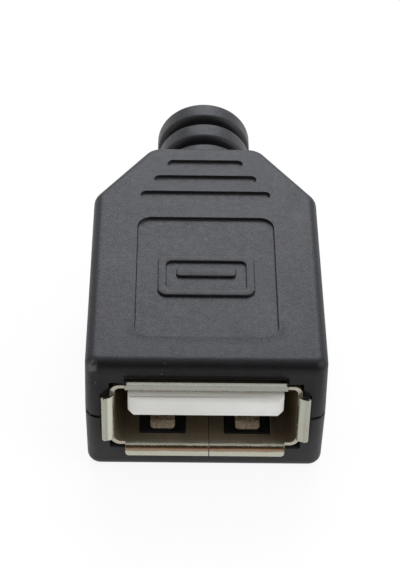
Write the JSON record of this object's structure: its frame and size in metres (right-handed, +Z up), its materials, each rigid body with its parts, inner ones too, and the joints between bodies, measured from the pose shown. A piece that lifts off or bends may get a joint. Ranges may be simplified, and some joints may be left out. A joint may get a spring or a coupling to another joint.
{
  "type": "usb socket",
  "caption": "Cable-end socket: a metal shell with flared lips and a contact tongue, held in a tapered black plastic housing with a ribbed cable tail.",
  "frame": {"origin": "centre of the socket's mouth, on the front face of the housing", "axes": "+X to the right seen from the mouth, +Y from the mouth to the cable tail, +Z up, away from the face it rests on"},
  "size_m": [0.0164, 0.0317, 0.01],
  "materials": {
    "black_plastic": "satin black moulded plastic with a fine spark texture",
    "nickel_sheet": "nickel-plated steel sheet with bright cut edges",
    "white_plastic": "white moulded insulator plastic",
    "contact_metal": "thinly gold-plated spring alloy"
  },
  "bodies": {
    "root": {"upper_cover": "black_plastic", "lower_cover": "black_plastic", "shield_shell": "nickel_sheet", "contact_carrier": "white_plastic", "contact_1": "contact_metal", "contact_2": "contact_metal", "contact_3": "contact_metal", "contact_4": "contact_metal"}
  },
  "joints": []
}
